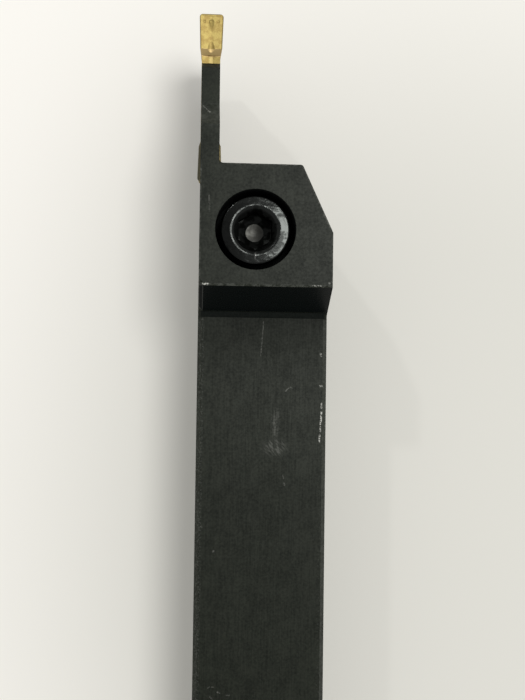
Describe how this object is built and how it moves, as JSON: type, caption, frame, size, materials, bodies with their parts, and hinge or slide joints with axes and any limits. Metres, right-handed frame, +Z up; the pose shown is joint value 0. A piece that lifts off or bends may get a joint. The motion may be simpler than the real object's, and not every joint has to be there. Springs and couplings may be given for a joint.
{
  "type": "grooving tool holder",
  "caption": "Right-hand external grooving and parting tool holder for a lathe: square shank, raised clamping head, slim blade and a clamped double-ended insert.",
  "frame": {"origin": "on the underside of the shank, on its centre line, halfway along the tool", "axes": "+X across the shank to the right side, the side that locates in the tool post; +Y along the shank towards the cutting edge; +Z up, from the underside to the cutting edge's level"},
  "size_m": [0.0164, 0.1, 0.021],
  "materials": {
    "black_oxide_steel": "ground and black oxide coated, satin",
    "gold_coated_carbide": "titanium nitride coated carbide, satin gold",
    "black_screw_steel": "black oxide, oiled and glossy"
  },
  "bodies": {
    "holder": {"holder_body": "black_oxide_steel", "insert": "gold_coated_carbide"},
    "screw": {"clamp_screw": "black_screw_steel"}
  },
  "joints": [
    {"name": "clamp_screw_turn", "type": "hinge", "parent": "holder", "child": "screw", "pos_m": [-0.0013, 0.0224, 0.0156], "axis": [0, 0, 1], "range_deg": [0, 540]}
  ]
}
